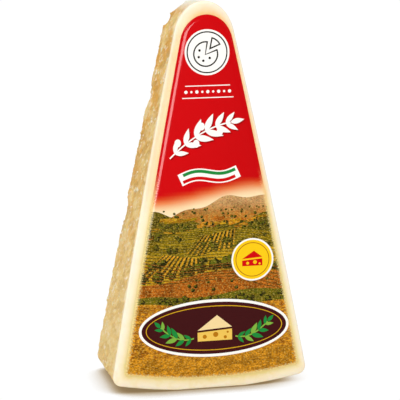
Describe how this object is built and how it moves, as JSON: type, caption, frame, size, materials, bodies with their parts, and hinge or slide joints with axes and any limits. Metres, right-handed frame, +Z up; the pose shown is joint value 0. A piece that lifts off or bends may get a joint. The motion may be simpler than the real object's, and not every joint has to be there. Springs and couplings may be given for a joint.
{
  "type": "pecorino romano cheese wedge",
  "caption": "Upright wedge of hard sheep's-milk cheese with craggy cut sides, a smooth crowned front face and a plain pictorial label on it.",
  "frame": {"origin": "on the floor, under the middle of the wedge's bounding box", "axes": "+Z up from the rind to the tip, +X across the wedge, -Y out of the labelled front face"},
  "size_m": [0.0714, 0.043, 0.138],
  "materials": {
    "cheese": "pale straw-coloured hard cheese, broken and grainy on the cut faces, smooth and slightly glossy on the front",
    "label": "glossy printed film label, red above and a field landscape below"
  },
  "bodies": {
    "root": {"cheese": "cheese", "label": "label"}
  },
  "joints": []
}
